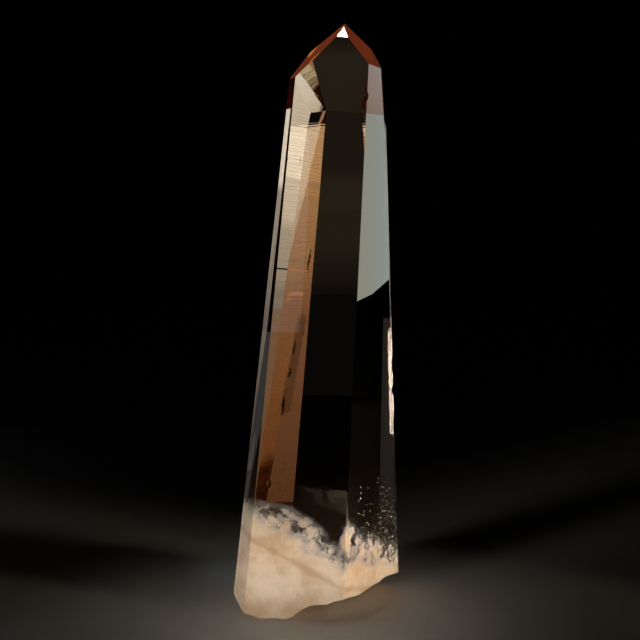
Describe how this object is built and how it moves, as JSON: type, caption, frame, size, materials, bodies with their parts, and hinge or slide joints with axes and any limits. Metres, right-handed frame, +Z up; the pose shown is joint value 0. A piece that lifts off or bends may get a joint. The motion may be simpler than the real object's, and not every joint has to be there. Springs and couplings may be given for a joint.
{
  "type": "lemurian quartz point",
  "caption": "Clear natural quartz crystal with a faceted point, ladder-like growth ledges across its sides and a broken milky foot that it stands on.",
  "frame": {"origin": "centre of the bounding box, at the level that the broken foot stands on", "axes": "+Z up towards the point, -Y towards the wide front face, +X to the right of it"},
  "size_m": [0.0312, 0.021, 0.105],
  "materials": {
    "clear_quartz": "clear and glossy, warm tint, milky towards the broken foot"
  },
  "bodies": {
    "root": {"quartz_point": "clear_quartz"}
  },
  "joints": []
}
